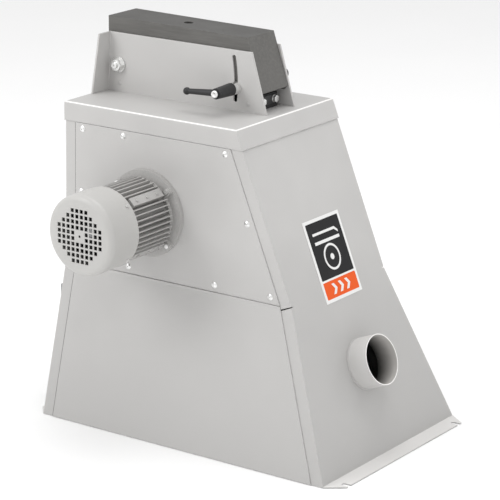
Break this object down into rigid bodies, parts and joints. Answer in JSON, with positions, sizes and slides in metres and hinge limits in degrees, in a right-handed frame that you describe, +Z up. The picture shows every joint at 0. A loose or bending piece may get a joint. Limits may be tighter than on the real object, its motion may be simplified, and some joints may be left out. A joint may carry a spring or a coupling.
{
  "type": "drum sander",
  "caption": "Stand-mounted drum sander: slanted sheet-steel cabinet, flange motor driving a wide abrasive drum by belt, tilting clamped hood over an open channel, suction nozzle.",
  "frame": {"origin": "centre of the cabinet's base on the floor, midway between the lower edges of its four walls", "axes": "+X along the wide face towards the slanted side with the suction nozzle, +Y from the motor side to the rear, +Z up"},
  "size_m": [0.7706, 0.6009, 0.7785],
  "materials": {
    "cabinet_paint": "light grey powder coat with a fine texture",
    "inner_sheet": "galvanised sheet",
    "label": "printed label plate",
    "zinc_steel": "bright zinc plating",
    "bright_steel": "turned steel",
    "rubber": "black rubber",
    "black_steel": "black painted steel",
    "cast_iron": "grey cast iron",
    "motor_paint": "light grey paint on cast aluminium",
    "winding": "stacked sheets with varnished copper ends",
    "aluminium": "turned aluminium",
    "abrasive": "brown aluminium oxide grit on cloth",
    "hood_paint": "dark grey powder coat",
    "black_plastic": "black glass-filled plastic",
    "switch_grey": "grey moulded plastic",
    "green_plastic": "green push button",
    "red_plastic": "red push button"
  },
  "bodies": {
    "drum": {"drum_shaft": "bright_steel", "drum_core": "aluminium", "drum_cushion": "rubber", "abrasive_sleeve": "abrasive", "drum_collars": "bright_steel", "drum_pulley": "cast_iron"},
    "rotor": {"rotor_shaft": "bright_steel", "rotor_core": "cast_iron", "motor_fan": "black_plastic", "motor_pulley": "cast_iron"},
    "hood": {"hood": "hood_paint", "clamp_nuts": "zinc_steel", "clamp_spacers": "zinc_steel"},
    "front_clamp": {"front_clamp_stud": "bright_steel"},
    "front_handle": {"front_clamp_handle": "black_plastic"},
    "rear_clamp": {"rear_clamp_stud": "bright_steel"},
    "rear_handle": {"rear_clamp_handle": "black_plastic"},
    "start": {"start_button": "green_plastic"},
    "stop": {"stop_button": "red_plastic"},
    "cabinet": {"left_side": "cabinet_paint", "right_side": "cabinet_paint", "front_lower_panel": "cabinet_paint", "rear_lower_panel": "cabinet_paint", "motor_panel": "cabinet_paint", "rear_upper_panel": "cabinet_paint", "front_rail": "inner_sheet", "rear_rail": "inner_sheet", "top_cap": "cabinet_paint", "floor_pan": "inner_sheet", "suction_nozzle": "cabinet_paint", "label_plate": "label", "panel_screws": "zinc_steel", "front_cheek": "cabinet_paint", "rear_cheek": "cabinet_paint", "head_brackets": "inner_sheet", "bracket_bolts": "zinc_steel", "rubber_flap": "rubber", "flap_strip": "black_steel", "flap_screws": "zinc_steel", "bearing_housings": "cast_iron", "drum_bearings": "bright_steel", "housing_bolts": "zinc_steel", "v_belt": "rubber", "pivot_rod": "zinc_steel", "pivot_washers": "zinc_steel", "pivot_nuts": "zinc_steel", "motor_shield": "motor_paint", "motor_frame": "motor_paint", "motor_rear_shield": "motor_paint", "motor_stator": "winding", "motor_bearings": "bright_steel", "fan_cover": "motor_paint", "motor_bolts": "zinc_steel", "motor_case_screws": "zinc_steel", "terminal_box": "motor_paint", "terminal_lid": "motor_paint", "cable_glands": "black_plastic", "switch_box": "switch_grey"}
  },
  "joints": [
    {"name": "drum_spin", "type": "hinge", "parent": "cabinet", "child": "drum", "pos_m": [-0.096, 0.013, 0.574], "axis": [0, 1, 0], "continuous": true},
    {"name": "motor_spin", "type": "hinge", "parent": "cabinet", "child": "rotor", "pos_m": [-0.121, -0.161, 0.438], "axis": [0, 1, 0], "continuous": true},
    {"name": "hood_tilt", "type": "hinge", "parent": "cabinet", "child": "hood", "pos_m": [-0.287, 0.013, 0.6845], "axis": [0, -1, 0], "range_deg": [-4.7, 11.6]},
    {"name": "front_clamp_turn", "type": "hinge", "parent": "hood", "child": "front_clamp", "pos_m": [-0.00261, -0.06, 0.67483], "axis": [0, 1, 0], "range_deg": [-5, 185]},
    {"name": "front_handle_lift", "type": "slide", "parent": "front_clamp", "child": "front_handle", "axis": [0, -1, 0], "range_m": [0, 0.004], "stiffness_N_per_m": 1500, "springref_m": -0.002},
    {"name": "rear_clamp_turn", "type": "hinge", "parent": "hood", "child": "rear_clamp", "pos_m": [-0.00261, 0.086, 0.67483], "axis": [0, 1, 0], "range_deg": [-5, 185]},
    {"name": "rear_handle_lift", "type": "slide", "parent": "rear_clamp", "child": "rear_handle", "axis": [0, 1, 0], "range_m": [0, 0.004], "stiffness_N_per_m": 1500, "springref_m": -0.002},
    {"name": "start_press", "type": "slide", "parent": "cabinet", "child": "start", "axis": [0.9997, 0, -0.0254], "range_m": [0, 0.003], "stiffness_N_per_m": 1000, "springref_m": -0.002},
    {"name": "stop_press", "type": "slide", "parent": "cabinet", "child": "stop", "axis": [0.9997, 0, -0.0254], "range_m": [0, 0.003], "stiffness_N_per_m": 1000, "springref_m": -0.002}
  ],
  "couplings": [
    {"joint": "motor_spin", "follows": "drum_spin", "ratio": 1.1268}
  ]
}
